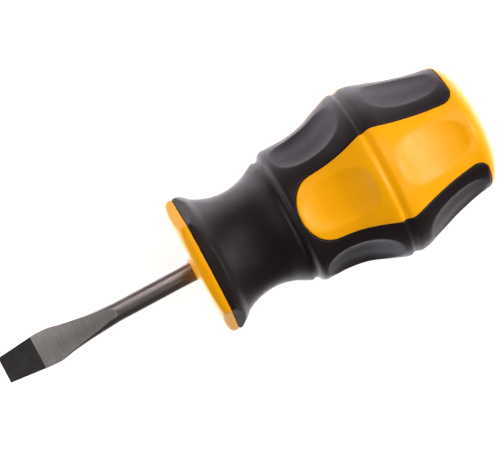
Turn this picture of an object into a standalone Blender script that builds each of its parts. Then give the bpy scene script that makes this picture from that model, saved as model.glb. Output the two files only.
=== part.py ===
"""Stubby slotted screwdriver with a three-shot handle: forged blade, inner core, yellow body and rubber grip.

The frame has +X pointing out of the tip along the tool, its origin at the tip end, and +Z up out of one yellow
panel. Shapes are modelled upright about a local Z axis that runs from the tip to the rear, and an empty lays
that axis down. Lengths below are millimetres, and MM turns them into the scene's metres.
"""

import math

import bmesh
import bpy
from mathutils import Matrix

MM = 0.001

# Driving dimensions.
BLADE_LENGTH = 38.4  # tip to the handle's front face
HANDLE_LENGTH = 59.2
CAP_BASE, CAP_RADIUS, CAP_POWER = 54.6, 12.35, 2.15  # the domed rear end's superellipse
TIP_WIDTH = 5.0
TIP_THICKNESS = 0.8
SHANK_RADIUS = 2.15
SHOULDER_WIDTH = 6.9
SHOULDER_Z = 9.6
RUN_OUT_Z = 22.7  # where the ground flats meet the round shank
FLAT_SLOPE = 0.0126  # of each ground flat at the tip
FAN_KNOTS = [  # distance from the tip, and half width of the forged bar
    (-1.0, 3.45), (SHOULDER_Z - 1.0, 3.45), (SHOULDER_Z + 0.6, 3.42), (12.6, 3.0), (16.0, 2.6), (19.5, 2.35),
    (RUN_OUT_Z, SHANK_RADIUS),
]
FAN_STATIONS = [-1.0, 4.0, 8.6, 9.6, 10.4, 11.6, 13.0, 14.8, 16.6, 19.0]
BLADE_ROLL = math.radians(-6)  # the blade's flats against the panels

GAP = 0.3  # kept between neighbouring pieces
GRIP_WALL = 3.0  # rubber and gap together
PANELS = 3  # yellow panels, with a rubber finger between each pair

# The collar's section: corners, and between them flats facing the fingers and wide arcs facing the panels.
COLLAR_CORNER = 13.45
COLLAR_CORNER_TURN = math.radians(39.4)  # from the middle of a panel
COLLAR_ARC_MIDDLE = 12.45
DISC_FACE_RADIUS = 7.8
DISC_ROUND_LENGTH = 1.7
DISC_TAPER = 0.035  # how fast the section shrinks in front of the rim, for each millimetre
DISC_BACK = 2.45  # the yellow disc's thickness
GRIP_END = 55.3  # the rubber fingers' ends, from the front face
CAP_START = GRIP_END + GAP

TURN_STEPS = 39  # a multiple of PANELS, and odd, so that a facet lies along the middle of each finger
SHARP_ANGLE = math.radians(35)

# Outer radius of the handle against the distance from its front face, between the collar and the rear cap.
OUTER_KNOTS = [
    (3.6, 13.15), (4.6, 12.5), (6.0, 11.3), (8.5, 10.25), (11.8, 9.8), (15.2, 10.4), (18.3, 11.9),
    (19.4, 12.1), (20.6, 13.05), (22.0, 13.15), (25.5, 13.2), (29.3, 13.85), (33.0, 15.3), (36.3, 16.5),
    (39.7, 16.5), (43.1, 15.4), (47.5, 13.9), (51.8, 12.8), (54.6, 12.35), (55.6, 12.12),
]
OUTER_STATIONS = 26

# Half of a yellow panel's outline: distance from the front face, and distance sideways.
PANEL_FRONT = 20.6
PANEL_SIDES = [
    (21.4, 3.3), (23.1, 5.35), (25.95, 6.3), (30.7, 7.0), (34.0, 7.95), (37.0, 8.85), (39.2, 8.9), (41.5, 8.35),
    (46.0, 7.3), (51.1, 6.45),
]
PANEL_FLARE = [(53.2, 6.3), (54.5, 7.1), (55.1, 8.1)]
PANEL_END = (55.5, 9.5)
PANEL_REACH = (6.0, 20.0)  # the cutter's extent from the axis
UNDER_START = 5.4  # where the neck beneath the rubber begins to follow the outer profile
UNDER_STATIONS = 14
PANEL_OVERLAP = 0.4  # how far a panel's sleeve sinks into the body

# Ring grooves: distance from the front face, radius of the ring, radius of the groove's section.
NECK_GROOVE = (19.1, 12.7, 0.9)
WAIST_GROOVE = (37.65, 17.4, 1.3)

# Finger dimples, one in each panel and finger: from and to along the tool, half width, and depth in the middle.
FRONT_DIMPLE = {"from": 21.3, "to": 35.3, "half_width": 4.5, "depth": 1.1}
REAR_DIMPLE = {"from": 40.8, "to": 54.4, "half_width": 4.4, "depth": 0.8}
DIMPLE_RADIAL = 6.0  # the cutting ellipsoid's half axis towards the tool's axis

# The inner core as a stack of cylinders: from, to, radius.
CORE_STACK = [
    (4.0, 19.5, 5.2), (19.5, 24.0, 7.3), (24.0, 26.5, 6.3), (26.5, 31.5, 8.3), (31.5, 34.0, 7.3),
    (34.0, 42.0, 10.6), (42.0, 44.5, 7.3), (44.5, 49.5, 8.3),
]

TANG_END = 36.0
TANG_CHAMFER = 0.6
TANG_WINGS = [(12.0, 0.0), (26.5, math.pi / 2)]  # start of each pair, and its turn about the axis
WING_LENGTH, WING_SPAN, WING_THICKNESS = 4.5, 7.6, 1.5


def clear_scene():
    for obj in list(bpy.data.objects):
        bpy.data.objects.remove(obj)


def make_collection(name):
    collection = bpy.data.collections.new(name)
    bpy.context.scene.collection.children.link(collection)
    return collection


def make_material(name, colour, roughness, metallic=0.0):
    material = bpy.data.materials.new(name)
    material.use_nodes = True
    shader = material.node_tree.nodes["Principled BSDF"]
    shader.inputs["Base Color"].default_value = (*colour, 1.0)
    shader.inputs["Roughness"].default_value = roughness
    shader.inputs["Metallic"].default_value = metallic
    return material


def smooth_through(knots):
    """A function through the knots: cubic between each pair, with slopes from the neighbours."""
    slopes = []
    for i in range(len(knots)):
        (x0, y0), (x1, y1) = knots[max(i - 1, 0)], knots[min(i + 1, len(knots) - 1)]
        slopes.append((y1 - y0) / (x1 - x0))

    def value(x):
        i = max(k for k in range(len(knots) - 1) if k == 0 or knots[k][0] <= x)
        (x0, y0), (x1, y1) = knots[i], knots[i + 1]
        h = x1 - x0
        t = (x - x0) / h
        return (
            y0 * (1 + 2 * t) * (1 - t) ** 2
            + slopes[i] * h * t * (1 - t) ** 2
            + y1 * t * t * (3 - 2 * t)
            + slopes[i + 1] * h * t * t * (t - 1)
        )

    return value


outer_radius = smooth_through(OUTER_KNOTS)


def outer_points(start, end, less=0.0, stations=OUTER_STATIONS):
    """Points of the outer profile from one distance to another, each less a wall from the axis."""
    steps = [start + (end - start) * i / stations for i in range(stations + 1)]
    return [(outer_radius(s) - less, s) for s in steps]


def cap_points():
    """The rear cap's outline, from its side to the axis: a quarter of a superellipse."""
    depth = HANDLE_LENGTH - CAP_BASE
    side = math.asin(((CAP_START - CAP_BASE) / depth) ** (CAP_POWER / 2))
    points = []
    for i in range(1, 10):
        a = side + (math.pi / 2 - side) * i / 9
        radius = CAP_RADIUS * max(math.cos(a), 0.0) ** (2 / CAP_POWER)
        points.append((radius, CAP_BASE + depth * math.sin(a) ** (2 / CAP_POWER)))
    return points[:-1] + [(0.0, HANDLE_LENGTH)]


def disc_points():
    """The front disc's outline, from its back edge to its flat face: a straight rim, then a quarter ellipse."""
    points = [(COLLAR_CORNER, DISC_BACK), (COLLAR_CORNER, DISC_ROUND_LENGTH)]
    for i in range(1, 6):
        a = math.pi / 2 * i / 5
        radius = DISC_FACE_RADIUS + (COLLAR_CORNER - DISC_FACE_RADIUS) * math.cos(a)
        points.append((radius, DISC_ROUND_LENGTH * (1 - math.sin(a))))
    return points


def stack_points(stack, grow):
    """The stacked cylinders' outline from front to rear, grown on every side."""
    first, last = stack[0], stack[-1]
    points = [(first[2] + grow, first[0] - grow)]
    for (_, joint, before), (_, _, after) in zip(stack, stack[1:]):
        at = joint - grow if after > before else joint + grow
        points += [(before + grow, at), (after + grow, at)]
    return points + [(last[2] + grow, last[1] + grow)]


def add_object(name, data, collection, parent):
    obj = bpy.data.objects.new(name, data)
    collection.objects.link(obj)
    obj.parent = parent
    return obj


def add_mesh(name, bm, collection, parent):
    mesh = bpy.data.meshes.new(name)
    bm.to_mesh(mesh)
    bm.free()
    return add_object(name, mesh, collection, parent)


def turned(name, profile, collection, parent, closed=False, steps=TURN_STEPS):
    """A solid of revolution about Z. The profile is (radius, distance from the front face), outer side first."""
    vertices = [(r * MM, 0.0, (BLADE_LENGTH + s) * MM) for r, s in profile]
    edges = [(i, i + 1) for i in range(len(vertices) - 1)]
    if closed:
        edges.append((len(vertices) - 1, 0))
    mesh = bpy.data.meshes.new(name)
    mesh.from_pydata(vertices, edges, [])
    obj = add_object(name, mesh, collection, parent)
    screw = obj.modifiers.new("turn", "SCREW")
    screw.steps = screw.render_steps = steps
    screw.use_merge_vertices = True
    screw.merge_threshold = 0.00001
    return obj


def boolean(obj, operand, operation):
    modifier = obj.modifiers.new(operation.lower() + "_" + operand.name, "BOOLEAN")
    modifier.operation = operation
    modifier.object = operand


def hide_cutter(obj):
    obj.hide_render = True
    obj.display_type = "WIRE"
    return obj


def ring_cutter(name, groove, cutters, axis):
    """A torus that cuts one ring groove."""
    distance, ring, section = groove
    count = 12
    angles = [-2 * math.pi * i / count for i in range(count)]
    profile = [(ring + section * math.cos(a), distance + section * math.sin(a)) for a in angles]
    return hide_cutter(turned(name, profile, cutters, axis, closed=True))


def collar_outline():
    """The collar's section: three wide arcs, with a straight flat from each arc's end to the next."""
    reach = COLLAR_CORNER * math.sin(COLLAR_CORNER_TURN)
    rise = COLLAR_ARC_MIDDLE - COLLAR_CORNER * math.cos(COLLAR_CORNER_TURN)
    arc_radius = (reach**2 + rise**2) / (2 * rise)
    arc_turn = math.asin(reach / arc_radius)
    points = []
    for panel in range(PANELS):
        turn = 2 * math.pi * panel / PANELS
        for i in range(9):
            a = arc_turn * (i / 4 - 1)
            x = COLLAR_ARC_MIDDLE - arc_radius + arc_radius * math.cos(a)
            y = arc_radius * math.sin(a)
            points.append((x * math.cos(turn) - y * math.sin(turn), x * math.sin(turn) + y * math.cos(turn)))
    return points


def collar_cutter(cutters, axis):
    """What the collar's section leaves of a wide drum, to trim the disc and the rubber rim with.

    In front of the rim the section tapers, so that the disc's rounded edge starts at one height all round.
    """
    drum_profile = [(18.0, 6.5), (18.0, -1.0), (9.0, -1.0), (9.0, 6.5)]
    drum = turned("collar_flats", drum_profile, cutters, axis, closed=True)
    bm = bmesh.new()
    edge = (BLADE_LENGTH + DISC_ROUND_LENGTH) * MM
    front, back = 3.0, 6.0  # how far the section goes on, either way from the rounded edge
    small = 1 - DISC_TAPER * front
    levels = [(edge - front * MM, small), (edge, 1.0), (edge + back * MM, 1.0)]
    outline = [bm.verts.new((x * small * MM, y * small * MM, levels[0][0])) for x, y in collar_outline()]
    across = [bm.faces.new(outline)]
    for (low, before), (high, after) in zip(levels, levels[1:]):
        raised = bmesh.ops.extrude_face_region(bm, geom=across[-1:])["geom"]
        verts = [item for item in raised if isinstance(item, bmesh.types.BMVert)]
        across.append(next(item for item in raised if isinstance(item, bmesh.types.BMFace)))
        bmesh.ops.translate(bm, verts=verts, vec=(0, 0, high - low))
        bmesh.ops.scale(bm, verts=verts, vec=(after / before, after / before, 1))
    bmesh.ops.delete(bm, geom=across[1:-1], context="FACES_ONLY")
    bmesh.ops.recalc_face_normals(bm, faces=bm.faces)
    boolean(drum, hide_cutter(add_mesh("collar_section", bm, cutters, axis)), "DIFFERENCE")
    return hide_cutter(drum)


def dimple_place(row):
    """Half axes and placing of the ellipsoid that cuts one dimple, before it is turned round the tool."""
    start, end, width, depth = row["from"], row["to"], row["half_width"], row["depth"]
    r_start, r_end, middle = outer_radius(start), outer_radius(end), (start + end) / 2
    tilt = math.atan2(r_end - r_start, end - start)
    half_chord = math.hypot(end - start, r_end - r_start) / 2
    surface = outer_radius(middle)
    floor = surface - depth
    # The ellipsoid meets both chord ends lengthways, and the round surface at the half width sideways.
    below_chord = ((r_start + r_end) / 2 - floor) * math.cos(tilt)
    lengthways = half_chord / math.sqrt(1 - (1 - below_chord / DIMPLE_RADIAL) ** 2)
    edge = math.sqrt(surface**2 - width**2)
    sideways = width / math.sqrt(1 - (1 - (edge - floor) / DIMPLE_RADIAL) ** 2)
    centre = floor + DIMPLE_RADIAL
    return tilt, centre, middle, (DIMPLE_RADIAL, sideways, lengthways)


def dimple_cutters(prefix, row, sixths, cutters, axis):
    """One ellipsoid for each dimple of a row, at the turns given as sixths of a circle."""
    tilt, centre, middle, half_axes = dimple_place(row)
    made = []
    for k in sixths:
        place = (
            Matrix.Rotation(k * math.pi / 3, 4, "Z")
            @ Matrix.Translation((centre * MM, 0, (BLADE_LENGTH + middle) * MM))
            @ Matrix.Rotation(tilt, 4, "Y")
            @ Matrix.Diagonal((*[half * MM for half in half_axes], 1))
        )
        bm = bmesh.new()
        bmesh.ops.create_uvsphere(bm, u_segments=28, v_segments=20, radius=1, matrix=place)
        made.append(hide_cutter(add_mesh(f"{prefix}_{k}", bm, cutters, axis)))
    return made


def mesh_of_curve(obj, collection):
    """Turns a filled curve into a welded mesh object that a Boolean can use."""
    bpy.context.view_layer.update()
    graph = bpy.context.evaluated_depsgraph_get()
    mesh = bpy.data.meshes.new_from_object(obj.evaluated_get(graph))
    bm = bmesh.new()
    bm.from_mesh(mesh)
    bmesh.ops.remove_doubles(bm, verts=bm.verts, dist=0.000001)
    bmesh.ops.recalc_face_normals(bm, faces=bm.faces)
    bm.to_mesh(mesh)
    bm.free()
    name, place, parent = obj.name, obj.matrix_world.copy(), obj.parent
    bpy.data.objects.remove(obj)
    made = add_object(name, mesh, collection, parent)
    made.matrix_world = place
    return made


def flat_plate(name, points, half_depth, collection, parent, smooth):
    """A filled outline in the plane of the tool's axis (first number) and its side (second), made thick.

    Points flagged in smooth get curved handles, and the rest are corners.
    """
    curve = bpy.data.curves.new(name, "CURVE")
    curve.dimensions = "2D"
    curve.fill_mode = "BOTH"
    curve.extrude = half_depth * MM
    curve.resolution_u = 5
    spline = curve.splines.new("BEZIER")
    spline.bezier_points.add(len(points) - 1)
    spline.use_cyclic_u = True
    for point, (along, side), soft in zip(spline.bezier_points, points, smooth):
        point.co = (along * MM, side * MM, 0)
        point.handle_left_type = point.handle_right_type = "AUTO" if soft else "VECTOR"
    obj = add_object(name, curve, collection, parent)
    obj.rotation_euler = (0, -math.pi / 2, 0)
    return obj


def panel_cutter(name, grow, cutters, axis):
    """All the yellow panels' outlines as plates that stand out from the tool, grown sideways and endways."""
    sides = [(s, w + grow) for s, w in PANEL_SIDES]
    flare = [(s - grow, w + grow) for s, w in PANEL_FLARE]
    end_s, end_w = PANEL_END
    right = sides + flare + [(end_s - grow, end_w), (end_s + 2.0, end_w)]
    left = [(s, -w) for s, w in reversed(right)]
    soft = [True] * (len(right) - 2) + [False] * 2
    outline = [(PANEL_FRONT - grow, 0.0)] + right + left
    near, far = PANEL_REACH
    points = [(BLADE_LENGTH + s, w) for s, w in outline]
    plate = flat_plate(name, points, (far - near) / 2, cutters, axis, [True] + soft + soft[::-1])
    plate.location = ((near + far) / 2 * MM, 0, 0)
    plate = mesh_of_curve(plate, cutters)
    bm = bmesh.new()
    bm.from_mesh(plate.data)
    bm.transform(plate.matrix_basis)
    plate.matrix_basis = Matrix.Identity(4)
    first = bm.verts[:] + bm.edges[:] + bm.faces[:]
    for panel in range(1, PANELS):
        copy = bmesh.ops.duplicate(bm, geom=first)["geom"]
        verts = [item for item in copy if isinstance(item, bmesh.types.BMVert)]
        turn = Matrix.Rotation(2 * math.pi * panel / PANELS, 3, "Z")
        bmesh.ops.rotate(bm, verts=verts, cent=(0, 0, 0), matrix=turn)
    bm.to_mesh(plate.data)
    bm.free()
    return hide_cutter(plate)


def blade_half_width(z):
    """Half width of the forged bar: round shank, then a fan to the shoulders that keeps on to the tip."""
    return smooth_through(FAN_KNOTS)(z) if z < RUN_OUT_Z else SHANK_RADIUS


def flat_height(z):
    """Half thickness between the two ground flats: nearly parallel at the tip, and steeper to the run-out."""
    start = TIP_THICKNESS / 2
    bend = (SHANK_RADIUS - start - FLAT_SLOPE * RUN_OUT_Z) / RUN_OUT_Z**2
    return start + FLAT_SLOPE * z + bend * z * z


def build_bar(collection, axis):
    """The forged bar before grinding, lofted through ellipses, with the tang's chamfered end."""
    end = BLADE_LENGTH + TANG_END
    stations = FAN_STATIONS + [RUN_OUT_Z, BLADE_LENGTH, end - TANG_CHAMFER]
    rings = [(z, blade_half_width(z), SHANK_RADIUS) for z in stations]
    rings.append((end, SHANK_RADIUS - TANG_CHAMFER, SHANK_RADIUS - TANG_CHAMFER))
    count = 28
    bm = bmesh.new()
    loops = []
    for z, wide, thick in rings:
        loop = []
        for i in range(count):
            a = 2 * math.pi * i / count
            loop.append(bm.verts.new((thick * math.cos(a) * MM, wide * math.sin(a) * MM, z * MM)))
        loops.append(loop)
    for low, high in zip(loops, loops[1:]):
        for i in range(count):
            k = (i + 1) % count
            bm.faces.new((low[i], low[k], high[k], high[i]))
    bm.faces.new(reversed(loops[0]))
    bm.faces.new(loops[-1])
    return add_mesh("blade", bm, collection, axis)


def grinding_cutters(cutters, roll):
    """What the grinder takes off the bar: two flats, two tapering edges and the square end."""
    made = []
    stations = [RUN_OUT_Z * 1.15 * i / 10 for i in range(11)]
    for side in (1, -1):
        low = [(-2.0, flat_height(0))] + [(z, flat_height(z)) for z in stations]
        outline = low + [(stations[-1], 6.0), (-2.0, 6.0)]
        points = [(z, side * h) for z, h in outline]
        name = "ground_flat_top" if side > 0 else "ground_flat_bottom"
        plate = flat_plate(name, points, 6.0, cutters, roll, [False] * len(points))
        plate.rotation_euler = (0, -math.pi / 2, -math.pi / 2)
        made.append(hide_cutter(mesh_of_curve(plate, cutters)))
    slope = (SHOULDER_WIDTH - TIP_WIDTH) / 2 / SHOULDER_Z
    for side in (1, -1):
        near, far = -2.0, SHOULDER_Z + 1.0
        outline = [(near, TIP_WIDTH / 2 + slope * near), (far, TIP_WIDTH / 2 + slope * far), (far, 8.0), (near, 8.0)]
        points = [(z, side * w) for z, w in outline]
        name = "ground_edge_left" if side > 0 else "ground_edge_right"
        plate = flat_plate(name, points, 6.0, cutters, roll, [False] * len(points))
        made.append(hide_cutter(mesh_of_curve(plate, cutters)))
    bm = bmesh.new()
    place = Matrix.Translation((0, 0, -5 * MM)) @ Matrix.Diagonal((12 * MM, 12 * MM, 10 * MM, 1))
    bmesh.ops.create_cube(bm, size=1, matrix=place)
    made.append(hide_cutter(add_mesh("ground_end", bm, cutters, roll)))
    return made


def wing_box(name, start, turn, grow, collection, parent):
    """One pair of the tang's wings, or with grow the room that the core leaves round it."""
    size = ((WING_THICKNESS + 2 * grow) * MM, (WING_SPAN + 2 * grow) * MM, (WING_LENGTH + 2 * grow) * MM)
    middle = BLADE_LENGTH + start + WING_LENGTH / 2
    place = Matrix.Rotation(turn, 4, "Z") @ Matrix.Translation((0, 0, middle * MM)) @ Matrix.Diagonal((*size, 1))
    bm = bmesh.new()
    bmesh.ops.create_cube(bm, size=1, matrix=place)
    return hide_cutter(add_mesh(name, bm, collection, parent))


def build_blade(collection, cutters, roll):
    """The forged bar, ground at the tip, with two pairs of wings on its tang."""
    blade = build_bar(collection, roll)
    for cutter in grinding_cutters(cutters, roll):
        boolean(blade, cutter, "DIFFERENCE")
    for i, (start, turn) in enumerate(TANG_WINGS):
        boolean(blade, wing_box(f"wings_{i}", start, turn, 0.0, cutters, roll), "UNION")
    return blade


def build_core(collection, cutters, axis, roll):
    """The first shot, moulded round the tang: a stepped spool with the tang's channel."""
    first, last = CORE_STACK[0], CORE_STACK[-1]
    bore = SHANK_RADIUS + GAP
    outside = list(reversed(stack_points(CORE_STACK, 0.0)))
    channel = [(bore, first[0]), (bore, TANG_END + GAP), (0.0, TANG_END + GAP)]
    core = turned("inner_core", [(0.0, last[1])] + outside + channel, collection, axis)
    for i, (start, turn) in enumerate(TANG_WINGS):
        boolean(core, wing_box(f"wing_room_{i}", start, turn, GAP, cutters, roll), "DIFFERENCE")
    return core


def build_body(collection, cutters, axis, shared):
    """The yellow second shot: front disc, neck, panels and rear cap in one, hollow over the core."""
    first, last = CORE_STACK[0], CORE_STACK[-1]
    cap_side = (outer_radius(CAP_START), CAP_START)
    cap = list(reversed(cap_points())) + [cap_side]
    under = list(reversed(outer_points(UNDER_START, CAP_START, GRIP_WALL, UNDER_STATIONS)))
    neck_foot = [(under[-1][0], DISC_BACK)]
    bore = SHANK_RADIUS + GAP
    inside = [(bore, 0.0), (bore, first[0] - GAP)] + stack_points(CORE_STACK, GAP)
    profile = cap + under + neck_foot + disc_points() + inside + [(0.0, last[1] + GAP)]
    body = turned("handle_body", profile, collection, axis)

    end = CAP_START + 0.05
    outer = list(reversed(outer_points(PANEL_FRONT - 1.0, end)))
    inner = outer_points(PANEL_FRONT - 1.0, end, GRIP_WALL + PANEL_OVERLAP, UNDER_STATIONS)
    panels = turned("panel_sleeve", outer + inner, cutters, axis, closed=True)
    boolean(panels, panel_cutter("panel_outline", -GAP / 2, cutters, axis), "INTERSECT")
    boolean(body, hide_cutter(panels), "UNION")

    for cutter in [shared["flats"], shared["waist"]]:
        boolean(body, cutter, "DIFFERENCE")
    for prefix, row in (("panel_front_dimple", FRONT_DIMPLE), ("panel_rear_dimple", REAR_DIMPLE)):
        for cutter in dimple_cutters(prefix, row, (0, 2, 4), cutters, axis):
            boolean(body, cutter, "DIFFERENCE")
    return body


def build_grip(collection, cutters, axis, shared):
    """The black rubber third shot: collar rim, neck sleeve and a finger between each pair of panels."""
    start = DISC_BACK + GAP
    outside = list(reversed([(COLLAR_CORNER, start), (COLLAR_CORNER, 3.2)] + outer_points(3.9, GRIP_END)))
    under = outer_points(UNDER_START, GRIP_END, GRIP_WALL - GAP, UNDER_STATIONS)
    inside = [(under[0][0], start)] + under
    grip = turned("grip", outside + inside, collection, axis, closed=True)
    boolean(grip, panel_cutter("window_outline", GAP / 2, cutters, axis), "DIFFERENCE")
    for cutter in [shared["flats"], shared["neck"], shared["waist"]]:
        boolean(grip, cutter, "DIFFERENCE")
    for prefix, row in (("front_dimple", FRONT_DIMPLE), ("rear_dimple", REAR_DIMPLE)):
        for cutter in dimple_cutters(prefix, row, (1, 3, 5), cutters, axis):
            boolean(grip, cutter, "DIFFERENCE")
    return grip


def finish_surface(obj, material):
    """Gives a piece its material, and shades its round surfaces smooth."""
    obj.data.materials.append(material)
    obj.data.shade_smooth()
    obj.data.set_sharp_from_angle(angle=SHARP_ANGLE)
    for modifier in obj.modifiers:
        if modifier.type == "SCREW":
            modifier.use_smooth_shade = True


def main():
    clear_scene()
    parts = make_collection("screwdriver")
    cutters = make_collection("cutters")

    axis = bpy.data.objects.new("tool_axis", None)
    axis.rotation_euler = (0, -math.pi / 2, 0)
    parts.objects.link(axis)
    roll = bpy.data.objects.new("blade_roll", None)
    roll.rotation_euler = (0, 0, BLADE_ROLL)
    roll.parent = axis
    parts.objects.link(roll)

    shared = {
        "flats": collar_cutter(cutters, axis),
        "neck": ring_cutter("neck_groove", NECK_GROOVE, cutters, axis),
        "waist": ring_cutter("waist_groove", WAIST_GROOVE, cutters, axis),
    }
    steel = make_material("satin_steel", (0.46, 0.45, 0.43), 0.32, 1.0)
    white_plastic = make_material("natural_plastic", (0.62, 0.60, 0.55), 0.5)
    yellow_plastic = make_material("yellow_plastic", (0.95, 0.45, 0.02), 0.3)
    black_rubber = make_material("black_rubber", (0.03, 0.03, 0.033), 0.55)

    finish_surface(build_blade(parts, cutters, roll), steel)
    finish_surface(build_core(parts, cutters, axis, roll), white_plastic)
    finish_surface(build_body(parts, cutters, axis, shared), yellow_plastic)
    finish_surface(build_grip(parts, cutters, axis, shared), black_rubber)
    bpy.context.view_layer.update()


main()
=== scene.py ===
"""Stubby slotted screwdriver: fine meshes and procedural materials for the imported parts.

The tool lies along X, with its tip at X = 0, its handle towards -X and one yellow panel facing +Z.
Shapes are worked out in millimetres. For the handle, s is the distance behind its front face, and an angle
turns about the tool's axis from the middle of the top panel towards +Y.
"""

import math

import bmesh
import bpy
import numpy as np
from mathutils import Matrix, Vector


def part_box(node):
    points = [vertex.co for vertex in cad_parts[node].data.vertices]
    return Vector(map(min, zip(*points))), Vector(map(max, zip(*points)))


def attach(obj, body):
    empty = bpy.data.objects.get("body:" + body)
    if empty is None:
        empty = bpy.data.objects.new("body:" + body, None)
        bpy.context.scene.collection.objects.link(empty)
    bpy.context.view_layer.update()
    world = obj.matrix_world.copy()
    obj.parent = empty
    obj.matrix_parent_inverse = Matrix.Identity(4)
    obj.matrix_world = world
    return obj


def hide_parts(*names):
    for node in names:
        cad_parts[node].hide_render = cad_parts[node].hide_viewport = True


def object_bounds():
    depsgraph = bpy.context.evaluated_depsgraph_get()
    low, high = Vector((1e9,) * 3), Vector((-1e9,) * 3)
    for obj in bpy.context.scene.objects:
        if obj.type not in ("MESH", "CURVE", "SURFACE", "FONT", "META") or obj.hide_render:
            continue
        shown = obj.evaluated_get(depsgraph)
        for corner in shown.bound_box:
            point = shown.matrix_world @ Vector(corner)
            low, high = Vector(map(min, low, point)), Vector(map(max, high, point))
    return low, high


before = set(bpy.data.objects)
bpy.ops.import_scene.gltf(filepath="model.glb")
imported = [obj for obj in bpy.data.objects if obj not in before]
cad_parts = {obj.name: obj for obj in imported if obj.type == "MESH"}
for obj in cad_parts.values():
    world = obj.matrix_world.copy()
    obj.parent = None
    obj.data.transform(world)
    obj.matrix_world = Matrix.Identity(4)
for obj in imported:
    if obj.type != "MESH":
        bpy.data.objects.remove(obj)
CAD_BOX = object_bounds()
MM = 0.001

# The handle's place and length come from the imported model.
BODY_LOW, BODY_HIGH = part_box("handle_body")
BLADE_LENGTH = -BODY_HIGH.x / MM
HANDLE_LENGTH = (BODY_HIGH.x - BODY_LOW.x) / MM
TANG_LENGTH = -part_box("blade")[0].x / MM - BLADE_LENGTH

# The handle's turned form: distance behind the front face, and radius over the ridges between the dimples.
HULL_KNOTS = [
    (3.6, 13.15), (4.6, 12.5), (6.0, 11.3), (8.5, 10.25), (11.8, 9.8), (15.2, 10.4), (18.3, 11.9),
    (19.4, 12.1), (20.6, 13.05), (22.0, 13.15), (25.5, 13.2), (29.3, 13.85), (33.0, 15.3), (36.3, 16.5),
    (39.7, 16.5), (43.1, 15.4), (47.5, 13.9), (51.8, 12.8), (54.6, 12.35), (55.6, 12.12),
]
CAP_BASE, CAP_RADIUS, CAP_POWER = 54.6, 12.35, 2.15  # the domed rear end's superellipse
NECK_GROOVE = (19.1, 12.72, 0.9)  # distance, radius of the ring, radius of the groove's section
NECK_GROOVE_EDGE = 0.1  # width over which its edges are rounded
WAIST_GROOVE = (36.4, 37.35, 38.9, 0.42)  # where it starts, is deepest and ends, and its depth

# The collar: a yellow disc in front of a rubber rim, both trimmed to three wide arcs and three flats.
COLLAR_CORNER = 13.45
COLLAR_CORNER_TURN = math.radians(39.4)
COLLAR_ARC_MIDDLE = 12.45
COLLAR_SOFT = 0.08  # width over which the section's corners are rounded
COLLAR_END = 8.0  # from here on nothing is trimmed
DISC_FACE_RADIUS = 7.8
DISC_ROUND_LENGTH = 1.7
DISC_TAPER = 0.035  # how fast the section shrinks ahead of the disc's widest part, for each millimetre
DISC_BACK = 2.5

# A dimple's outline is a superellipse on the surface, and it is deepest in the middle. Its edge is rounded
# over a small width, which grows to the soft edge at the front of a panel's dimple.
DIMPLE_POWER = 2.6
CRISP_EDGE = 0.07
FRONT_DIMPLE = {
    "centre": 28.3, "half_length": 7.0, "half_turn": math.radians(19.3), "depth": 1.1, "soft_edge": 0.3,
}
REAR_DIMPLE = {
    "centre": 47.6, "half_length": 6.8, "half_turn": math.radians(18.4), "depth": 0.7, "soft_edge": 0.4,
}
DIMPLE_GRAIN = (0.99, 0.05)  # how far out a dimple's grain ends, and over what share it fades

# A yellow panel: half an ellipse in front, sides through the knots (distance, half turn in degrees), and at
# the rear the rounded corners of the rubber fingers' ends.
PANELS = 3
THIRD = 2 * math.pi / PANELS
PANEL_FRONT, PANEL_ROUND = 20.65, 5.3
PANEL_KNOTS = [
    (25.95, 28.6), (29.0, 28.9), (32.5, 29.6), (35.3, 31.2), (37.0, 32.4), (38.6, 32.9), (41.5, 31.6),
    (45.0, 30.6), (49.0, 30.0), (52.9, 29.8),
]
FINGER_END, FINGER_CORNER = 55.3, 2.4

SEAM = 0.04  # from the seam's middle to either piece
LIP = 0.28  # radius of both pieces' edges along the seam
GRIP_WALL = 2.7
UNDER_START, UNDER_LIMIT = 5.2, 13.2  # the form under the rubber: straight up to here, and its largest radius

# Hollow in the body round the core, and room round the shank: radius and distance, from the bottom out.
CORE_STACK = [
    (4.0, 19.5, 5.2), (19.5, 24.0, 7.3), (24.0, 26.5, 6.3), (26.5, 31.5, 8.3), (31.5, 34.0, 7.3),
    (34.0, 42.0, 10.6), (42.0, 44.5, 7.3), (44.5, 49.5, 8.3),
]
CORE_ROOM = 0.3
MOUTH_ROOM, MOUTH_EDGE = 0.05, 0.15  # round the shank, where it enters the handle

# The blade. The bar's knots are the distance from the tip and its half width as forged.
TIP_WIDTH, TIP_THICKNESS = 5.0, 0.8
SHANK_RADIUS = 2.15
SHOULDER, SHOULDER_WIDTH = 9.6, 6.9
RUN_OUT = 22.7
BAR_KNOTS = [(-1.0, 3.45), (8.6, 3.45), (10.2, 3.42), (12.6, 3.0), (16.0, 2.6), (19.5, 2.35), (RUN_OUT, 2.15)]
FLAT_SLOPE = 0.0126
BLACK_TIP = 6.8
BLADE_ROLL = math.radians(-6)
TANG_WINGS = [(12.0, 0.0), (26.5, math.pi / 2)]
WING_SIZE = (1.5, 7.6, 4.5)
GROUND, BLACKENED = 1, 2  # places in the blade's list of materials, after the drawn steel's
GROUND_FACING = 0.35  # a face that leans no further to the side than this is part of a ground flat

# The handle's rows of points: their spacing, which is finer along the waist, and where they start to crowd
# together before the fingers' ends.
ROW_STEP, FINE_STEP = 0.3, 0.13
FINE_START, FINE_END, CROWD_START = 36.4, 39.7, 52.9
SEAM_POINTS = 20  # along the seam round a finger's end
SEAM_REACH = 1.5  # points of the seam further off along the tool aren't looked at
FAR, FAR_FROM_SEAM = 99.0, 9.0


# ---------------------------------------------------------------- curves and surfaces


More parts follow.
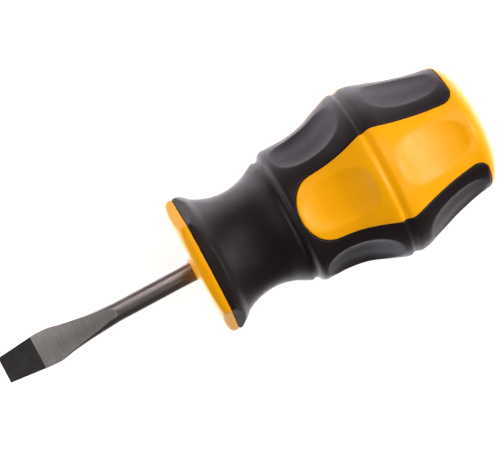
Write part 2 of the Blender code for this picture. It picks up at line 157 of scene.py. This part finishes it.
def smooth_through(knots):
    """A function through the knots: cubic between each pair, with slopes from the neighbours."""
    x, y = np.array(knots).T
    before, after = np.maximum(np.arange(len(x)) - 1, 0), np.minimum(np.arange(len(x)) + 1, len(x) - 1)
    slope = (y[after] - y[before]) / (x[after] - x[before])

    def value(s):
        s = np.asarray(s, float)
        i = np.clip(np.searchsorted(x, s, side="right") - 1, 0, len(x) - 2)
        h = x[i + 1] - x[i]
        t = (s - x[i]) / h
        start = (1 + 2 * t) * (1 - t) ** 2 * y[i] + t * (1 - t) ** 2 * h * slope[i]
        return start + t * t * (3 - 2 * t) * y[i + 1] + t * t * (t - 1) * h * slope[i + 1]

    return value


def soft_min(a, b, width):
    """The lower of two numbers, with the corner between them rounded over the width."""
    h = np.clip(0.5 + 0.5 * (b - a) / width, 0.0, 1.0)
    return b * (1 - h) + a * h - width * h * (1 - h)


hull_curve = smooth_through(HULL_KNOTS)
panel_sides = smooth_through(PANEL_KNOTS)
bar_curve = smooth_through(BAR_KNOTS)


def hull(s):
    """Radius over the ridges, from the collar to the rear end."""
    s = np.asarray(s, float)
    share = np.clip((s - CAP_BASE) / (HANDLE_LENGTH - CAP_BASE), 0.0, 1.0)
    cap = CAP_RADIUS * (1 - share**CAP_POWER) ** (1 / CAP_POWER)
    side = hull_curve(np.minimum(s, CAP_BASE))
    side = np.where(s < COLLAR_END, np.minimum(side, COLLAR_CORNER), side)
    return np.where(s > CAP_BASE, cap, side)


def fold(angle, parts):
    """An angle measured from the nearest of the equal turns."""
    step = 2 * math.pi / parts
    return (np.asarray(angle) + step / 2) % step - step / 2


def collar_section(angle):
    """Radius of the collar's section: wide arcs facing the panels and flats facing the fingers."""
    reach = COLLAR_CORNER * math.sin(COLLAR_CORNER_TURN)
    rise = COLLAR_ARC_MIDDLE - COLLAR_CORNER * math.cos(COLLAR_CORNER_TURN)
    arc = (reach**2 + rise**2) / (2 * rise)
    turn = fold(angle, PANELS)
    back = arc - COLLAR_ARC_MIDDLE
    wide = -back * np.cos(turn) + np.sqrt(arc**2 - (back * np.sin(turn)) ** 2)
    flat = COLLAR_CORNER * math.cos(THIRD / 2 - COLLAR_CORNER_TURN) / np.cos(fold(angle + THIRD / 2, PANELS))
    return soft_min(wide, flat, COLLAR_SOFT)


def dimple_share(s, angle, row):
    """How far out a point is in its dimple: 0 in the middle and 1 on the outline."""
    along = np.abs(s - row["centre"]) / row["half_length"]
    across = np.abs(fold(angle, 2 * PANELS)) / row["half_turn"]
    return (along**DIMPLE_POWER + across**DIMPLE_POWER) ** (1 / DIMPLE_POWER)


def surface(s, angle):
    """The handle's outer radius with its collar, grooves and dimples, before the seam's edges are rounded."""
    s, angle = np.broadcast_arrays(np.asarray(s, float), angle)
    radius = hull(s)
    radius = np.where(s < COLLAR_END, soft_min(radius, collar_section(angle), COLLAR_SOFT), radius)
    place, ring, section = NECK_GROOVE
    inside = np.clip(section**2 - (s - place) ** 2, 0.0, None)
    floor = np.where(np.abs(s - place) < section, ring - np.sqrt(inside), FAR)
    radius = soft_min(radius, floor, NECK_GROOVE_EDGE)
    start, middle, end, depth = WAIST_GROOVE
    share = np.interp(s, (start, middle, end), (-1.0, 0.0, 1.0))
    radius = radius - depth * (1 + np.cos(share * math.pi)) / 2
    on_panel = np.abs(fold(angle, PANELS)) < THIRD / 4
    for row in (FRONT_DIMPLE, REAR_DIMPLE):
        share = dimple_share(s, angle, row)
        along = np.clip(0.5 - (s - row["centre"]) / row["half_length"], 0.0, 1.0)
        edge = np.where(on_panel, CRISP_EDGE + along * (row["soft_edge"] - CRISP_EDGE), CRISP_EDGE)
        radius = soft_min(radius, radius - row["depth"] * (1 - share**3), edge)
    return radius


def panel_half_angle(s, grow):
    """Half of the turn that a yellow panel takes up at a distance, with its outline grown on every side."""
    s = np.asarray(s, float)
    centre = PANEL_FRONT + PANEL_ROUND
    corner_start = FINGER_END - FINGER_CORNER
    ahead = np.clip((centre - s) / (PANEL_ROUND + grow), 0.0, 1.0)
    past = np.clip((s - corner_start) / (FINGER_CORNER - grow), 0.0, 1.0)
    corner = (FINGER_CORNER - grow) * (1 - np.sqrt(1 - past**2))
    sides = np.radians(panel_sides(np.clip(s, centre, corner_start))) * np.sqrt(1 - ahead**2)
    return sides + (grow * np.sqrt(1 - ahead**2) + corner) / hull(s)


def steps(start, end, size):
    """Evenly spaced distances, without the last."""
    return list(np.linspace(start, end, max(1, round(abs(end - start) / size)), endpoint=False))


def eased(start, end, count, at_start):
    """Distances that crowd together at the start, or at the end, as points of a quarter circle do."""
    turn = np.arange(count) / count * math.pi / 2
    share = 1 - np.cos(turn) if at_start else np.sin(turn)
    return list(start + (end - start) * share)


def crowded(count):
    """Numbers from -1 to 1, one more than the count, that crowd together at both ends."""
    across = np.linspace(-1, 1, count + 1)
    return np.sign(across) * (1 - (1 - np.abs(across)) ** 1.5)


def window_rows(grow):
    """Distances of the rows beside the panels, from a panel's front to the fingers' ends."""
    rows = eased(PANEL_FRONT - grow, PANEL_FRONT + PANEL_ROUND, 26, True)
    rows += steps(PANEL_FRONT + PANEL_ROUND, FINE_START, ROW_STEP) + steps(FINE_START, FINE_END, FINE_STEP)
    rows += steps(FINE_END, CROWD_START, ROW_STEP)
    return rows + eased(CROWD_START, FINGER_END - grow, 12, False) + [FINGER_END - grow]


def seam_outline():
    """Points along half of the seam round one panel: distance, and turn times radius."""
    s = np.array(window_rows(0.0))
    middle = np.linspace(panel_half_angle(FINGER_END, 0.0), THIRD / 2, SEAM_POINTS)
    turn = np.concatenate([panel_half_angle(s, 0.0), middle])
    s = np.concatenate([s, np.full(SEAM_POINTS, FINGER_END)])
    fine = np.linspace(0, len(s) - 1, 6 * len(s))
    s, turn = np.interp(fine, np.arange(len(s)), s), np.interp(fine, np.arange(len(turn)), turn)
    return s, turn * hull(s)


SEAM_LINE = seam_outline()


def seam_distance(s, angle):
    """Distance in millimetres from the seam, for points of one row."""
    across = np.abs(fold(angle, PANELS)) * hull(s)
    line_s, line_across = SEAM_LINE
    near = np.abs(line_s - s) < SEAM_REACH
    if not near.any():
        return np.full(np.shape(angle), FAR_FROM_SEAM)
    gap = (across[:, None] - line_across[None, near]) ** 2 + (s - line_s[near])[None, :] ** 2
    return np.sqrt(gap.min(axis=1))


def lip(distance):
    """How far a rounded edge has fallen at a distance from the edge."""
    inward = np.clip(1 - distance / LIP, 0.0, 1.0)
    return LIP * (1 - np.sqrt(1 - inward**2))


def rounded_surface(s, angle):
    """The outer radius in one row, with the edges along the seam rounded."""
    return surface(s, angle) - lip(np.maximum(seam_distance(s, angle) - SEAM, 0.0))


# ---------------------------------------------------------------- meshes


def handle_points(s, angle, radius):
    """Points of one row of the handle, in metres."""
    s, angle, radius = np.broadcast_arrays(s, angle, radius)
    return np.stack([-(BLADE_LENGTH + s), radius * np.sin(angle), radius * np.cos(angle)], axis=-1) * MM


def make_object(name, points, faces, sharp=50.0):
    """A smooth-shaded object from points and faces, with points in the same place made one."""
    mesh = bpy.data.meshes.new(name)
    mesh.from_pydata([tuple(p) for p in points], [], faces)
    bm = bmesh.new()
    bm.from_mesh(mesh)
    bmesh.ops.remove_doubles(bm, verts=bm.verts, dist=2e-6)
    bmesh.ops.dissolve_degenerate(bm, edges=bm.edges, dist=1e-6)
    bmesh.ops.recalc_face_normals(bm, faces=bm.faces)
    bm.to_mesh(mesh)
    bm.free()
    mesh.shade_smooth()
    mesh.set_sharp_from_angle(angle=math.radians(sharp))
    obj = bpy.data.objects.new(name, mesh)
    bpy.context.scene.collection.objects.link(obj)
    return obj


def loft(name, rings, sharp=50.0):
    """A closed surface through rings of equally many points; the first and last rings are its ends."""
    count = len(rings[0])
    faces = []
    for i in range(len(rings) - 1):
        for j in range(count):
            k = (j + 1) % count
            faces.append((i * count + j, i * count + k, (i + 1) * count + k, (i + 1) * count + j))
    faces.append(tuple(range(count)))
    last = (len(rings) - 1) * count
    faces.append(tuple(range(last + count - 1, last - 1, -1)))
    return make_object(name, np.concatenate(rings), faces, sharp)


def give(piece, node, materials):
    """Dresses a piece, and hands it over in place of its CAD node."""
    for material in materials:
        piece.data.materials.append(material)
    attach(piece, "root")
    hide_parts(node)


PANEL_COLUMNS = 72
FINGER_COLUMNS = 14
HALF_TURN_FREE = math.radians(36)  # the panel columns' half turn where no panel is


def body_columns(half):
    """Angles of the body's columns for a panel's half turn, and which of them are a panel's."""
    panel = half * crowded(PANEL_COLUMNS)
    finger = half + (THIRD / 2 - half) * np.linspace(0, 1, FINGER_COLUMNS + 1)
    angles, is_panel = [], []
    for k in range(PANELS):
        angles += [k * THIRD - finger[::-1], k * THIRD + panel, k * THIRD + finger[:-1]]
        for part in (finger, panel, finger[:-1]):
            is_panel.append(np.full(len(part), part is panel))
    return np.concatenate(angles), np.concatenate(is_panel)


def disc_profile():
    """The yellow disc from its flat face to its back: radius and distance."""
    points = [(r, 0.0) for r in (2.6, 3.6, 4.8, 6.0, 7.0)]
    for turn in np.linspace(0, math.pi / 2, 15):
        radius = DISC_FACE_RADIUS + (COLLAR_CORNER - DISC_FACE_RADIUS) * math.sin(turn)
        points.append((radius, DISC_ROUND_LENGTH * (1 - math.cos(turn))))
    edge = DISC_BACK - SEAM - LIP
    points += [(COLLAR_CORNER, s) for s in (1.95, edge)]
    for turn in np.linspace(0, math.pi / 2, 6)[1:]:
        points.append((COLLAR_CORNER - LIP * (1 - math.cos(turn)), edge + LIP * math.sin(turn)))
    return points


def under_radius(s):
    """Radius of the body beneath the rubber."""
    return np.minimum(hull(np.maximum(s, UNDER_START)) - GRIP_WALL - CORE_ROOM, UNDER_LIMIT)


def hollow_profile():
    """The body's inside, from its far end to the mouth round the shank: radius and distance."""
    first, last = CORE_STACK[0], CORE_STACK[-1]
    points = [(0.0, last[1] + CORE_ROOM), (last[2] + CORE_ROOM, last[1] + CORE_ROOM)]
    for (_, joint, before), (_, _, after) in reversed(list(zip(CORE_STACK, CORE_STACK[1:]))):
        at = joint - CORE_ROOM if after > before else joint + CORE_ROOM
        points += [(after + CORE_ROOM, at), (before + CORE_ROOM, at)]
    mouth = SHANK_RADIUS + MOUTH_ROOM
    start = first[0] - CORE_ROOM
    points += [(first[2] + CORE_ROOM, start), (mouth, start), (mouth, MOUTH_EDGE)]
    return points + [(mouth + MOUTH_EDGE, 0.0)]


def build_body():
    """The yellow shot: front disc, neck, panels and rear cap, hollow for the core."""
    free, _ = body_columns(HALF_TURN_FREE)
    rings = [handle_points(s, free, radius) for radius, s in hollow_profile()]
    for radius, s in disc_profile():
        section = collar_section(free) * (1 - DISC_TAPER * max(0.0, DISC_ROUND_LENGTH - s))
        rings.append(handle_points(s, free, soft_min(radius, section, COLLAR_SOFT)))
    grown = -SEAM
    first = PANEL_FRONT - grown
    back = DISC_BACK - SEAM
    # Under the rubber neck the panels' columns close in from here on, and meet at the panels' fronts.
    closing = 12.0
    for s in [back] + steps(6.0, first, 1.2) + [first]:
        half = HALF_TURN_FREE * max(0.0, 1 - max(0.0, (s - closing) / (first - closing))) ** 0.7
        rings.append(handle_points(s, body_columns(half)[0], under_radius(s)))
    for s in window_rows(grown):
        angles, is_panel = body_columns(float(panel_half_angle(min(s, FINGER_END), grown)))
        radius = np.where(is_panel, rounded_surface(s, angles), under_radius(s))
        rings.append(handle_points(s, angles, radius))
    depth = HANDLE_LENGTH - CAP_BASE
    cap_start = math.asin(((FINGER_END + SEAM - CAP_BASE) / depth) ** (CAP_POWER / 2))
    for turn in np.linspace(cap_start, math.pi / 2, 46):
        s = CAP_BASE + depth * math.sin(turn) ** (2 / CAP_POWER)
        rings.append(handle_points(s, angles, rounded_surface(min(s, HANDLE_LENGTH - 1e-6), angles)))
    return loft("yellow_handle_body", rings)


GRIP_COLUMNS = 84
UNDER_STRIDE = 4


def grip_columns(half):
    """Angles across one rubber finger, closer together beside the seams."""
    return THIRD / 2 + (THIRD / 2 - half) * crowded(GRIP_COLUMNS)


def stitch(fine, coarse, stride):
    """Faces between a line of points and a line with one point for each stride of them."""
    faces = []
    for i in range(len(coarse) - 1):
        faces.append(tuple(fine[i * stride : (i + 1) * stride + 1]) + (coarse[i + 1], coarse[i]))
    return faces


def build_grip():
    """The rubber shot: collar rim, neck sleeve and three fingers, in three joined thirds."""
    start = DISC_BACK + SEAM
    rim = [start + LIP * (1 - math.cos(turn)) for turn in np.linspace(0, math.pi / 2, 6)]
    drops = [LIP * (1 - math.sin(turn)) for turn in np.linspace(0, math.pi / 2, 6)]
    ahead = steps(rim[-1] + 0.12, 6.5, 0.16) + steps(6.5, 17.8, 0.4) + steps(17.8, 19.9, 0.13)
    ahead += [20.06, 20.2, 20.32, 20.42, 20.5]
    beside = window_rows(SEAM)
    # The last gap is divided into spare rows, so that the coarser under side ends where the outer side does.
    spare = -(len(rim) + len(ahead) + len(beside) - 1) % UNDER_STRIDE
    rows = rim + ahead + beside[:-1] + list(np.linspace(beside[-2], beside[-1], spare + 2)[1:])
    window = len(rim) + len(ahead)
    window -= window % UNDER_STRIDE  # from this row on, each finger has side walls
    outer, under = [], []
    for i, s in enumerate(rows):
        half = float(panel_half_angle(s, SEAM)) if s > PANEL_FRONT - SEAM else 0.0
        angles = grip_columns(half)
        radius = rounded_surface(s, angles) - (drops[i] if i < len(drops) else 0.0)
        outer.append((s, angles, radius))
        if i % UNDER_STRIDE == 0:
            coarse = angles[::UNDER_STRIDE]
            under.append((s, coarse, np.full(len(coarse), float(under_radius(s)) + CORE_ROOM)))
    points, faces = [], []
    for k in range(PANELS):
        base = len(points)
        grids = []
        for grid in (outer, under):
            index = []
            for s, angles, radius in grid:
                index.append(list(range(len(points), len(points) + len(angles))))
                points.extend(handle_points(s, angles + k * THIRD, radius))
            grids.append(index)
        top, low = grids
        for grid in grids:
            for row, after in zip(grid, grid[1:]):
                for j in range(len(row) - 1):
                    quad = (row[j], after[j], after[j + 1], row[j + 1])
                    faces.append(quad if grid is top else quad[::-1])
        faces += stitch(top[0], low[0], UNDER_STRIDE) + stitch(top[-1], low[-1], UNDER_STRIDE)
        for side in (0, -1):
            edge, foot = [row[side] for row in top], [row[side] for row in low]
            faces += stitch(edge[window:], foot[window // UNDER_STRIDE :], UNDER_STRIDE)
    return make_object("rubber_grip", points, faces)


def flat_height(z):
    """Half thickness between the blade's ground flats."""
    bend = (SHANK_RADIUS - TIP_THICKNESS / 2 - FLAT_SLOPE * RUN_OUT) / RUN_OUT**2
    return TIP_THICKNESS / 2 + FLAT_SLOPE * z + bend * z * z


def blade_ring(z):
    """A section of the blade: two ground flats, and two sides that are round or ground straight."""
    wide = float(bar_curve(z)) if z < RUN_OUT else SHANK_RADIUS
    height = min(flat_height(z), SHANK_RADIUS) if z < RUN_OUT else SHANK_RADIUS
    edge = TIP_WIDTH / 2 + (SHOULDER_WIDTH - TIP_WIDTH) / 2 * z / SHOULDER if z < SHOULDER else FAR
    start = math.acos(height / SHANK_RADIUS)
    turn = np.linspace(start, math.pi - start, 25)
    side_x, side_y = SHANK_RADIUS * np.cos(turn), np.minimum(wide * np.sin(turn), edge)
    flat_y = np.linspace(-side_y[0], side_y[0], 19)[1:-1]
    flat_x = np.full(len(flat_y), height)
    up = np.concatenate([flat_x, side_x, -flat_x, -side_x])
    out = np.concatenate([flat_y, side_y, -flat_y, -side_y])
    turned_y = out * math.cos(BLADE_ROLL) + up * math.sin(BLADE_ROLL)
    turned_z = up * math.cos(BLADE_ROLL) - out * math.sin(BLADE_ROLL)
    return np.stack([np.full(len(up), -z), turned_y, turned_z], axis=-1) * MM


def build_blade():
    """The one forged bar: ground tip, round shank, and inside the handle the tang with its wings."""
    end = BLADE_LENGTH + TANG_LENGTH
    stations = steps(0, BLACK_TIP, 0.4) + steps(BLACK_TIP, SHOULDER, 0.25) + steps(SHOULDER, RUN_OUT, 0.2)
    stations += steps(RUN_OUT, BLADE_LENGTH, 1.0) + steps(BLADE_LENGTH, end, 4.0) + [end]
    blade = loft("steel_blade", [blade_ring(z) for z in stations], sharp=25.0)
    for i, (start, turn) in enumerate(TANG_WINGS):
        place = (
            Matrix.Translation((-(BLADE_LENGTH + start + WING_SIZE[2] / 2) * MM, 0, 0))
            @ Matrix.Rotation(-(BLADE_ROLL + turn), 4, "X")
            @ Matrix.Diagonal((WING_SIZE[2] * MM, WING_SIZE[1] * MM, WING_SIZE[0] * MM, 1))
        )
        bm = bmesh.new()
        bmesh.ops.create_cube(bm, size=1, matrix=place)
        mesh = bpy.data.meshes.new(f"wings_{i}")
        bm.to_mesh(mesh)
        bm.free()
        wings = bpy.data.objects.new(f"wings_{i}", mesh)
        bpy.context.scene.collection.objects.link(wings)
        union = blade.modifiers.new("wings", "BOOLEAN")
        union.operation = "UNION"
        union.object = wings
        graph = bpy.context.evaluated_depsgraph_get()
        joined = bpy.data.meshes.new_from_object(blade.evaluated_get(graph))
        blade.modifiers.clear()
        blade.data = joined
        bpy.data.objects.remove(wings)
    for face in blade.data.polygons:
        x = face.center.x / MM
        if x > -BLACK_TIP:
            face.material_index = BLACKENED
        elif x > -RUN_OUT and abs(face.normal.y) < GROUND_FACING:
            face.material_index = GROUND
    return blade


# ---------------------------------------------------------------- materials


class Shader:
    """A material's node tree, with its Principled shader and short ways to add nodes."""

    def __init__(self, name, **sockets):
        self.material = bpy.data.materials.new(name)
        self.material.use_nodes = True
        self.tree = self.material.node_tree
        self.main = self.tree.nodes["Principled BSDF"]
        for socket, value in sockets.items():
            self.main.inputs[socket.replace("_", " ")].default_value = value
        self.place = self.add("ShaderNodeTexCoord").outputs["Object"]

    def add(self, kind, inputs=(), **settings):
        node = self.tree.nodes.new(kind)
        for name, value in settings.items():
            setattr(node, name, value)
        for name, value in dict(inputs).items():
            if isinstance(value, bpy.types.NodeSocket):
                self.tree.links.new(value, node.inputs[name])
            else:
                node.inputs[name].default_value = value
        return node

    def noise(self, scale, stretch=(1, 1, 1), detail=3.0, roughness=0.55):
        """Noise whose grains are about 1 / scale metres across."""
        place = self.add("ShaderNodeMapping", {"Vector": self.place, "Scale": stretch}).outputs[0]
        sockets = {"Vector": place, "Scale": scale, "Detail": detail, "Roughness": roughness}
        return self.add("ShaderNodeTexNoise", sockets).outputs["Fac"]

    def spread(self, value, low, high, start=0.3, end=0.7):
        """Maps a stretch of one number to a range."""
        sockets = {"Value": value, "From Min": start, "From Max": end, "To Min": low, "To Max": high}
        return self.add("ShaderNodeMapRange", sockets).outputs[0]

    def connect(self, pairs):
        """Gives each socket its link, number or colour."""
        for socket, value in pairs:
            if isinstance(value, bpy.types.NodeSocket):
                self.tree.links.new(value, socket)
            elif isinstance(value, (tuple, list)):
                socket.default_value = (*value[:3], 1.0)
            else:
                socket.default_value = value

    def mix(self, share, first, second):
        """A colour between two colours."""
        node = self.add("ShaderNodeMix", data_type="RGBA")
        self.connect(((node.inputs[0], share), (node.inputs[6], first), (node.inputs[7], second)))
        return node.outputs[2]

    def between(self, share, first, second):
        """A number between two numbers."""
        node = self.add("ShaderNodeMix", data_type="FLOAT")
        self.connect(((node.inputs[0], share), (node.inputs[2], first), (node.inputs[3], second)))
        return node.outputs[0]

    def math(self, operation, first, second):
        node = self.add("ShaderNodeMath", operation=operation)
        self.connect(zip(node.inputs, (first, second)))
        return node.outputs[0]

    def attribute(self, name):
        return self.add("ShaderNodeAttribute", attribute_name=name).outputs["Fac"]

    def bump(self, height, depth, strength=1.0, normal=None):
        """Relief of a depth in metres from a height of 0 to 1."""
        sockets = {"Height": height, "Distance": depth, "Strength": strength}
        if normal is not None:
            sockets["Normal"] = normal
        return self.add("ShaderNodeBump", sockets).outputs[0]

    def finish(self, colour=None, roughness=None, normal=None, specular=None):
        """Links the looks to the shader, and gives the material."""
        links = {"Base Color": colour, "Roughness": roughness, "Normal": normal}
        links["Specular IOR Level"] = specular
        for socket, value in links.items():
            if value is not None:
                self.tree.links.new(value, self.main.inputs[socket])
        return self.material


def yellow_plastic():
    """Moulded amber plastic: half gloss, faint flow marks, and painted shade darkening it along the seam."""
    shader = Shader("yellow_plastic", IOR=1.47, Specular_IOR_Level=0.2)
    cloud = shader.spread(shader.noise(120, detail=4), 0.0, 1.0)
    colour = shader.mix(cloud, (0.97, 0.405, 0.001), (0.995, 0.435, 0.002))
    # Painted shade: the yellow darkens to a dim orange within 0.45 mm of the seam, broken up by noise.
    painted_seam_shade = shader.spread(shader.attribute("seam"), 0.35, 0.0, 0.0, 0.45)
    broken_seam_shade = shader.math("MULTIPLY", painted_seam_shade, shader.spread(shader.noise(700), 0.3, 1.0))
    colour = shader.mix(broken_seam_shade, colour, (0.35, 0.12, 0.004))
    roughness = shader.spread(shader.noise(450, detail=5), 0.3, 0.4)
    skin = shader.bump(shader.noise(2600, detail=2), 0.000012)
    return shader.finish(colour, roughness, skin)


def black_rubber():
    """Charcoal rubber: smooth ridges, and a matte spark-eroded grain in the dimples."""
    shader = Shader("black_rubber", IOR=1.45)
    dimple = shader.attribute("dimple")
    cloud = shader.spread(shader.noise(90, detail=4), 0.0, 1.0)
    plain = shader.mix(cloud, (0.0120, 0.0068, 0.0070), (0.0150, 0.0090, 0.0095))
    speckle = shader.spread(shader.noise(2800, detail=4), 0.0, 1.0)
    dusty = shader.mix(speckle, (0.017, 0.013, 0.016), (0.031, 0.026, 0.031))
    colour = shader.mix(dimple, plain, dusty)
    base = shader.spread(shader.noise(400, detail=5), 0.44, 0.56)
    rough = shader.between(dimple, base, 0.54)
    specular = shader.between(dimple, 0.23, 0.17)
    grain = shader.noise(5200, detail=2)
    relief = shader.math("MULTIPLY", grain, shader.between(dimple, 0.3, 0.8))
    return shader.finish(colour, rough, shader.bump(relief, 0.00004), specular)


def steel(name, stretch, scale, colour, roughness, depth):
    """Bright steel with fine marks drawn out along one direction, and faint darker clouds."""
    shader = Shader(name, Metallic=1.0, Anisotropic=0.3)
    marks = shader.noise(scale, stretch, detail=5, roughness=0.65)
    cloud = shader.noise(160, detail=3)
    shade = shader.spread(marks, 0.0, 1.0)
    tone = shader.mix(shade, tuple(0.9 * c for c in colour), colour)
    tone = shader.mix(shader.spread(cloud, 0.0, 0.22), tone, (0.3, 0.27, 0.24))
    rough = shader.spread(marks, roughness + 0.07, roughness - 0.05)
    return shader.finish(tone, rough, shader.bump(marks, depth))


def black_steel():
    """The tip's blackened finish: dark, matte and slightly mottled."""
    shader = Shader("blackened_tip", Metallic=0.55, IOR=1.6)
    marks = shader.noise(3200, (1.0, 0.25, 1.0), detail=5)
    mottle = shader.spread(shader.noise(600, detail=5), 0.0, 1.0)
    colour = shader.mix(mottle, (0.022, 0.020, 0.020), (0.038, 0.034, 0.034))
    rough = shader.spread(marks, 0.62, 0.48)
    return shader.finish(colour, rough, shader.bump(marks, 0.00001))


def core_plastic():
    """The uncoloured plastic of the hidden core."""
    shader = Shader("core_plastic", IOR=1.47)
    colour = shader.mix(shader.spread(shader.noise(200), 0.0, 1.0), (0.6, 0.58, 0.52), (0.68, 0.66, 0.6))
    rough = shader.spread(shader.noise(900), 0.45, 0.6)
    return shader.finish(colour, rough, shader.bump(shader.noise(2500), 0.00001))


def add_attributes(piece):
    """Stores on each point its share of a dimple's grain, and its distance from the seam in millimetres."""
    mesh = piece.data
    points = np.zeros(len(mesh.vertices) * 3)
    mesh.vertices.foreach_get("co", points)
    x, y, z = points.reshape(-1, 3).T / MM
    s, angle = -x - BLADE_LENGTH, np.arctan2(y, z)
    share = np.minimum(dimple_share(s, angle, FRONT_DIMPLE), dimple_share(s, angle, REAR_DIMPLE))
    outermost, fade = DIMPLE_GRAIN
    dimple = np.clip((outermost - share) / fade, 0.0, 1.0)
    line_s, line_across = SEAM_LINE
    across = np.abs(fold(angle, PANELS)) * hull(np.clip(s, 3.0, FINGER_END))
    seam = np.full(len(s), FAR_FROM_SEAM)
    for near_s, near_across in zip(line_s[::3], line_across[::3]):
        seam = np.minimum(seam, np.hypot(s - near_s, across - near_across))
    for name, values in (("dimple", dimple), ("seam", seam)):
        layer = mesh.attributes.new(name, "FLOAT", "POINT")
        layer.data.foreach_set("value", values.astype(np.float32))


# ---------------------------------------------------------------- the tool

body = build_body()
add_attributes(body)
give(body, "handle_body", [yellow_plastic()])

grip = build_grip()
add_attributes(grip)
give(grip, "grip", [black_rubber()])

blade = build_blade()
blade_materials = [
    steel("drawn_steel", (0.05, 1.0, 1.0), 5200, (0.44, 0.39, 0.37), 0.36, 0.000002),
    steel("ground_steel", (1.0, 0.06, 0.06), 5200, (0.72, 0.68, 0.64), 0.4, 0.000003),
    black_steel(),
]
give(blade, "blade", blade_materials)

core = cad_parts["inner_core"]
core.data.materials.clear()
core.data.materials.append(core_plastic())

# ---------------------------------------------------------------- stage, camera and light

FLOOR_SIZE, FLOOR_DROP = 3.0, 0.0004  # half its width, and how far it lies below the tool

# Lights: name, turn and tilt in degrees, power in watts, width in metres, and colour.
LIGHT_DISTANCE = 0.9
WARM, COOL = (1.0, 0.955, 0.94), (0.95, 0.94, 1.0)
LIGHTS = [
    ("right_light", 18, 58, 5.6, 0.36, WARM), ("near_light", 60, 30, 2.8, 0.5, WARM),
    ("left_light", 198, 71, 3.2, 0.42, COOL), ("upper_light", 120, 31, 0.35, 0.1, COOL),
    ("low_light", 335, 45, 1.0, 0.3, WARM),
]
LOW_GLOW = (130, 135)  # turn and tilt of the world's brightest side, which is below the floor
LOW_GLOW_RANGE = (0.03, 4.2)  # strength away from it, and in it
DIM_RANGE = (0.25, 0.05)  # strength at the horizon, and overhead

# The camera looks down on the tool, a little towards its tip and a little to one side of the top panel.
CAMERA_DISTANCE = 0.46
PICTURE_WIDTH = 0.0909  # what the picture's width covers at the tool
TOWARDS_TIP = math.radians(3.6)
TO_ONE_SIDE = math.radians(6.0)
SLANT = math.radians(28.17)  # the tool's rise across the picture
AIM_BEHIND_FACE = 13.12
AIM_ASIDE = -2.25

towards = Vector((
    math.sin(TOWARDS_TIP),
    -math.cos(TOWARDS_TIP) * math.sin(TO_ONE_SIDE),
    math.cos(TOWARDS_TIP) * math.cos(TO_ONE_SIDE),
))
rearwards = Vector((-1, 0, 0))
rearwards = (rearwards - towards * towards.dot(rearwards)).normalized()
aside = rearwards.cross(towards)
right = rearwards * math.cos(SLANT) + aside * math.sin(SLANT)
up = rearwards * math.sin(SLANT) - aside * math.cos(SLANT)
aim = Vector((-(BLADE_LENGTH + AIM_BEHIND_FACE) * MM, 0, 0)) + aside * AIM_ASIDE * MM

camera = bpy.data.objects.new("camera", bpy.data.cameras.new("camera"))
bpy.context.scene.collection.objects.link(camera)
facing = Matrix((right, up, towards)).transposed().to_4x4()
camera.matrix_world = Matrix.Translation(aim + towards * CAMERA_DISTANCE) @ facing
camera.data.sensor_width = 36.0
camera.data.lens = camera.data.sensor_width * CAMERA_DISTANCE / PICTURE_WIDTH
camera.data.clip_start = 0.01
bpy.context.scene.camera = camera


def add_floor():
    """A wide plain pale floor under the tool."""
    bm = bmesh.new()
    bmesh.ops.create_grid(bm, x_segments=1, y_segments=1, size=FLOOR_SIZE)
    mesh = bpy.data.meshes.new("floor")
    bm.to_mesh(mesh)
    bm.free()
    floor = bpy.data.objects.new("floor", mesh)
    bpy.context.scene.collection.objects.link(floor)
    floor.location = (0, 0, CAD_BOX[0].z - FLOOR_DROP)
    floor.visible_glossy = False  # so that reflections see the world's low glow
    shader = Shader("pale_floor", Roughness=0.9)
    shader.main.inputs["Base Color"].default_value = (0.42, 0.42, 0.42, 1.0)
    shader.main.inputs["Specular IOR Level"].default_value = 0.1
    shader.main.inputs["Emission Color"].default_value = (1.0, 1.0, 1.0, 1.0)
    shader.main.inputs["Emission Strength"].default_value = 0.85
    mesh.materials.append(shader.material)


def direction(turn, tilt):
    """The way that is tilted from the camera's line, and turned from the picture's right."""
    turn, tilt = math.radians(turn), math.radians(tilt)
    return (right * math.cos(turn) + up * math.sin(turn)) * math.sin(tilt) + towards * math.cos(tilt)


def add_light(name, turn, tilt, power, size, colour):
    """A round soft light that faces the tool from LIGHT_DISTANCE away."""
    away = direction(turn, tilt)
    data = bpy.data.lights.new(name, "AREA")
    data.shape = "DISK"
    data.size = size
    data.energy = power
    data.color = colour
    light = bpy.data.objects.new(name, data)
    bpy.context.scene.collection.objects.link(light)
    light.location = aim + away * LIGHT_DISTANCE
    light.rotation_mode = "QUATERNION"
    light.rotation_quaternion = away.to_track_quat("Z", "Y")


def build_world():
    """A dim studio, with a low glow that only reflections see, beyond the picture's upper left."""
    world = bpy.data.worlds.new("studio")
    world.use_nodes = True
    nodes, links = world.node_tree.nodes, world.node_tree.links
    way = nodes.new("ShaderNodeTexCoord").outputs["Generated"]

    def share(axis, low, high, start, end):
        """A number from start to end as the direction turns towards the axis."""
        dot = nodes.new("ShaderNodeVectorMath")
        dot.operation = "DOT_PRODUCT"
        dot.inputs[1].default_value = axis
        links.new(way, dot.inputs[0])
        spread = nodes.new("ShaderNodeMapRange")
        spread.interpolation_type = "SMOOTHSTEP"
        links.new(dot.outputs["Value"], spread.inputs["Value"])
        for name, value in (("From Min", low), ("From Max", high), ("To Min", start), ("To Max", end)):
            spread.inputs[name].default_value = value
        return spread.outputs[0]

    bright = share(direction(*LOW_GLOW), -0.25, 0.5, *LOW_GLOW_RANGE)
    dim = share((0, 0, 1), 0.0, 0.2, *DIM_RANGE)
    pick = nodes.new("ShaderNodeMix")
    links.new(share((0, 0, 1), -0.02, 0.02, 0.0, 1.0), pick.inputs[0])
    links.new(bright, pick.inputs[2])
    links.new(dim, pick.inputs[3])
    nodes["Background"].inputs["Color"].default_value = (0.96, 0.93, 1.0, 1.0)
    links.new(pick.outputs[0], nodes["Background"].inputs["Strength"])
    return world


add_floor()
for light in LIGHTS:
    add_light(*light)
bpy.context.scene.world = build_world()
bpy.context.scene.view_settings.view_transform = "Standard"
